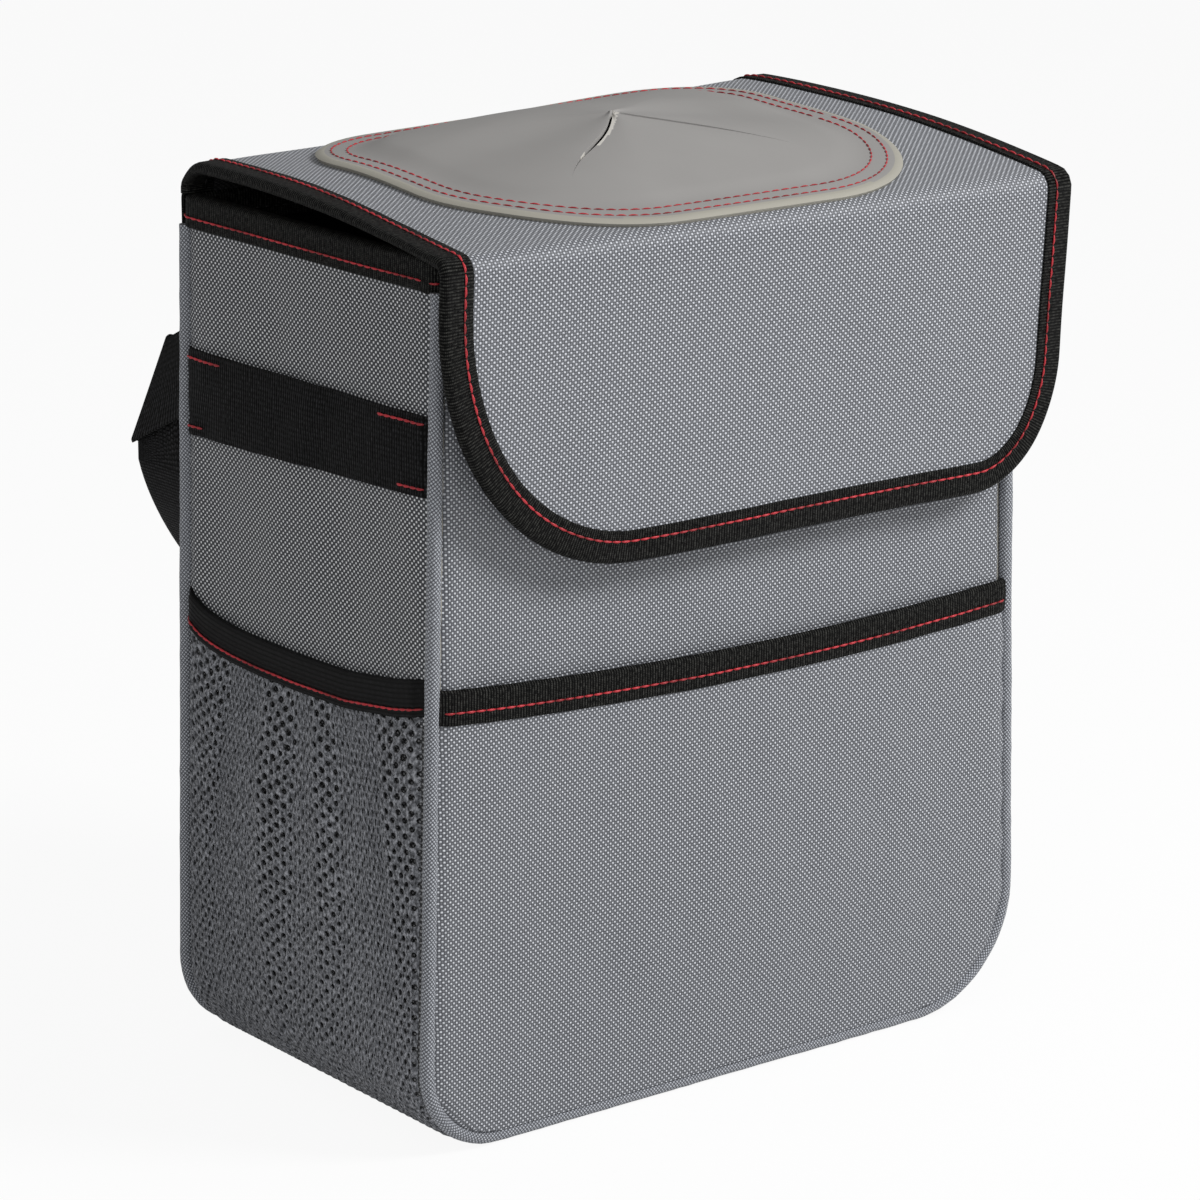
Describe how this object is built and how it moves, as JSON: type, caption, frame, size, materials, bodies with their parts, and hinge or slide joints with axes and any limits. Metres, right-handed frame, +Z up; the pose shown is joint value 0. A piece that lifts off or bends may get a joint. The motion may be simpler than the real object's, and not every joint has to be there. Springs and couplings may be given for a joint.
{
  "type": "car trash bin",
  "caption": "Soft car trash bin: stiffened grey cloth box with an arched flap lid, a slit pad in the lid, a front pocket, mesh side pockets and a webbing strap behind.",
  "frame": {"origin": "centre of the base, on the floor", "axes": "+Z up, +X to the bin's left as seen from the front, -Y towards the front, where the lid's skirt hangs"},
  "size_m": [0.276, 0.205, 0.3349],
  "materials": {
    "oxford_cloth": "coated Oxford weave, matte",
    "black_webbing": "ribbed polyester tape and webbing",
    "mesh_knit": "knitted air mesh",
    "soft_pad": "soft smooth sheet, matte",
    "liner_film": "waterproof film, satin",
    "stiffener": "board, matte",
    "foam": "closed-cell foam",
    "hook_and_loop": "hook and loop pile"
  },
  "bodies": {
    "bin": {"front_panel": "oxford_cloth", "back_panel": "oxford_cloth", "gusset": "oxford_cloth", "front_board": "stiffener", "back_board": "stiffener", "left_board": "stiffener", "right_board": "stiffener", "base_board": "stiffener", "liner": "liner_film", "rim_binding": "black_webbing", "front_piping": "oxford_cloth", "back_piping": "oxford_cloth", "front_pocket": "oxford_cloth", "front_pocket_tape": "black_webbing", "left_mesh": "mesh_knit", "right_mesh": "mesh_knit", "left_elastic": "black_webbing", "right_elastic": "black_webbing", "left_band": "black_webbing", "right_band": "black_webbing", "hanging_strap": "black_webbing", "loop_tape": "hook_and_loop"},
    "lid": {"lid_cover": "oxford_cloth", "lid_padding": "foam", "lid_lining": "liner_film", "lid_binding": "black_webbing", "hinge_tape": "black_webbing", "inlet_pad": "soft_pad", "hook_tape": "hook_and_loop"}
  },
  "joints": [
    {"name": "lid_hinge", "type": "hinge", "parent": "bin", "child": "lid", "pos_m": [0, 0.076, 0.3063], "axis": [-1, 0, 0], "range_deg": [0, 165]}
  ]
}
